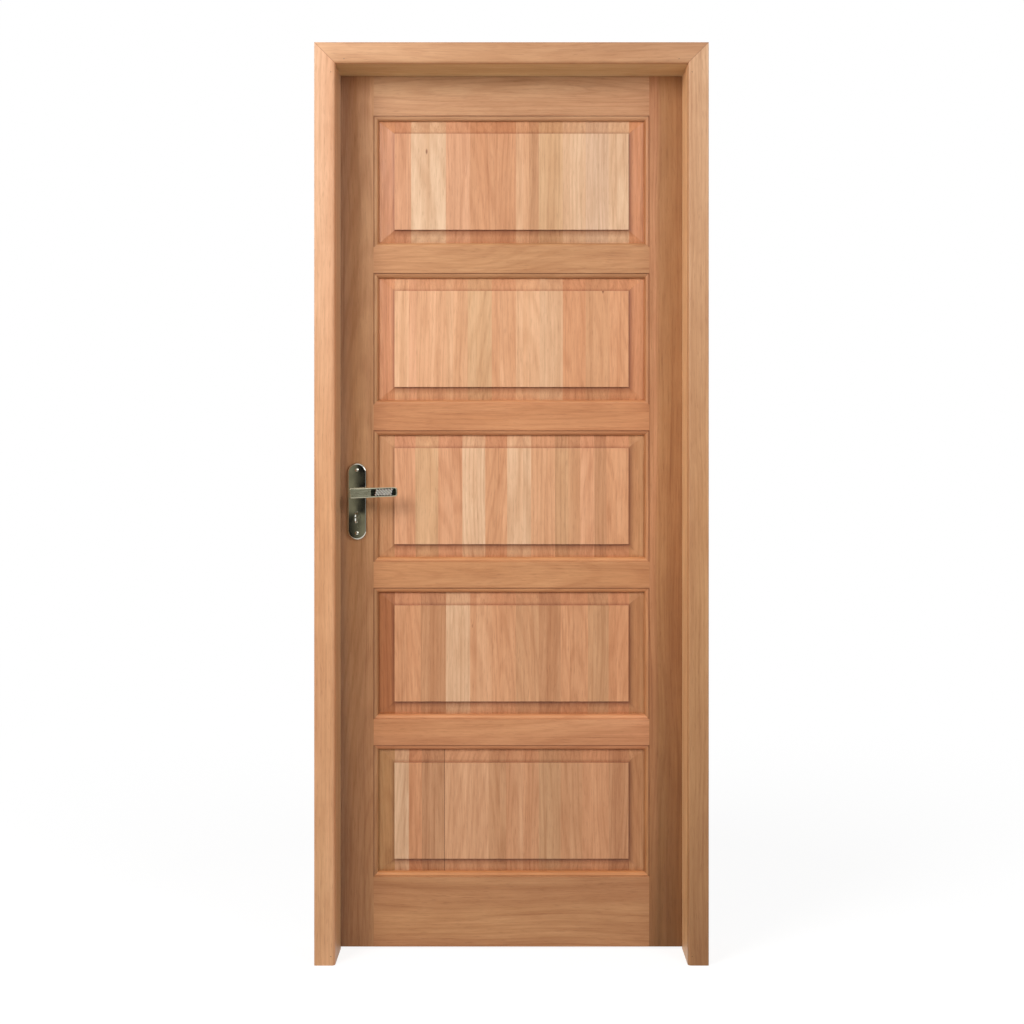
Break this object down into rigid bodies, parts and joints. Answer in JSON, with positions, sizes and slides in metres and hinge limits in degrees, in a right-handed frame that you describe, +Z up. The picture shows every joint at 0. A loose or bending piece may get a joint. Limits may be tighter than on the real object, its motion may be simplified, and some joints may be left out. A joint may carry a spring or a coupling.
{
  "type": "prehung wooden panel door",
  "caption": "Prehung wooden panel door with raised panels in a rebated frame, mitred front casing, butt hinges, mortise lock with key, and lever handles on oblong plates.",
  "frame": {"origin": "on the floor line, at the middle of the opening's width, in the plane of the wall's front face, which is the back of the casing", "axes": "+Z up, +Y through the wall away from the casing, the way the leaf opens, +X from the lock side towards the hinge side"},
  "size_m": [0.872, 0.21, 2.04],
  "materials": {
    "frame_wood": "clear satin lacquer",
    "casing_wood": "clear satin lacquer",
    "leaf_wood": "clear satin lacquer",
    "panel_wood": "clear satin lacquer",
    "dowel_wood": "bare beech",
    "handle_metal": "polished nickel",
    "bright_steel": "bright plated",
    "hardware_steel": "satin nickel plated",
    "lock_steel": "zinc plated",
    "plug_brass": "turned brass"
  },
  "bodies": {
    "frame": {"lock_jamb": "frame_wood", "hinge_jamb": "frame_wood", "head_jamb": "frame_wood", "lock_side_casing": "casing_wood", "hinge_side_casing": "casing_wood", "head_casing": "casing_wood", "frame_screws": "bright_steel", "casing_nails": "bright_steel", "strike_plate": "hardware_steel", "strike_screws": "bright_steel", "top_hinge_frame_plate": "hardware_steel", "middle_hinge_frame_plate": "hardware_steel", "bottom_hinge_frame_plate": "hardware_steel", "top_hinge_pin": "hardware_steel", "middle_hinge_pin": "hardware_steel", "bottom_hinge_pin": "hardware_steel", "hinge_jamb_screws": "bright_steel"},
    "leaf": {"lock_stile": "leaf_wood", "hinge_stile": "leaf_wood", "top_rail": "leaf_wood", "cross_rail_1": "leaf_wood", "cross_rail_2": "leaf_wood", "cross_rail_3": "leaf_wood", "cross_rail_4": "leaf_wood", "bottom_rail": "leaf_wood", "panel_1": "panel_wood", "panel_2": "panel_wood", "panel_3": "panel_wood", "panel_4": "panel_wood", "panel_5": "panel_wood", "dowels": "dowel_wood", "top_hinge_leaf_plate": "hardware_steel", "middle_hinge_leaf_plate": "hardware_steel", "bottom_hinge_leaf_plate": "hardware_steel", "hinge_leaf_screws": "bright_steel", "lock_case": "lock_steel", "lock_cover": "lock_steel", "case_rivets": "lock_steel", "forend": "hardware_steel", "forend_screws": "bright_steel", "latch_spring": "lock_steel", "front_plate": "handle_metal", "rear_plate": "handle_metal", "plate_screws": "bright_steel", "lever_bushes": "handle_metal", "cylinder_body": "bright_steel", "cylinder_screw": "bright_steel", "rear_plug": "plug_brass"},
    "handle": {"front_lever": "handle_metal", "rear_lever": "handle_metal", "spindle": "lock_steel", "lever_set_screws": "bright_steel", "follower": "lock_steel"},
    "latch": {"latch_bolt": "hardware_steel"},
    "dead_bolt": {"dead_bolt": "hardware_steel"},
    "key": {"key": "bright_steel", "front_plug": "plug_brass", "cylinder_cam": "plug_brass"}
  },
  "joints": [
    {"name": "door_swing", "type": "hinge", "parent": "frame", "child": "leaf", "pos_m": [0.4015, 0.146, 0], "axis": [0, 0, -1], "range_deg": [0, 170]},
    {"name": "handle_turn", "type": "hinge", "parent": "leaf", "child": "handle", "pos_m": [-0.353, 0.12, 1.042], "axis": [0, 1, 0], "range_deg": [0, 40], "stiffness_Nm_per_rad": 1, "springref_deg": -45.84},
    {"name": "latch_slide", "type": "slide", "parent": "leaf", "child": "latch", "axis": [1, 0, 0], "range_m": [0, 0.012], "deforming": ["latch_spring"]},
    {"name": "key_turn", "type": "hinge", "parent": "leaf", "child": "key", "pos_m": [-0.353, 0.12, 0.986], "axis": [0, -1, 0], "range_deg": [0, 360]},
    {"name": "bolt_slide", "type": "slide", "parent": "leaf", "child": "dead_bolt", "axis": [-1, 0, 0], "range_m": [0, 0.014]}
  ],
  "couplings": [
    {"joint": "latch_slide", "follows": "handle_turn", "m_per_rad": 0.017188},
    {"joint": "key_turn", "follows": "bolt_slide", "rad_per_m": 448.79}
  ]
}
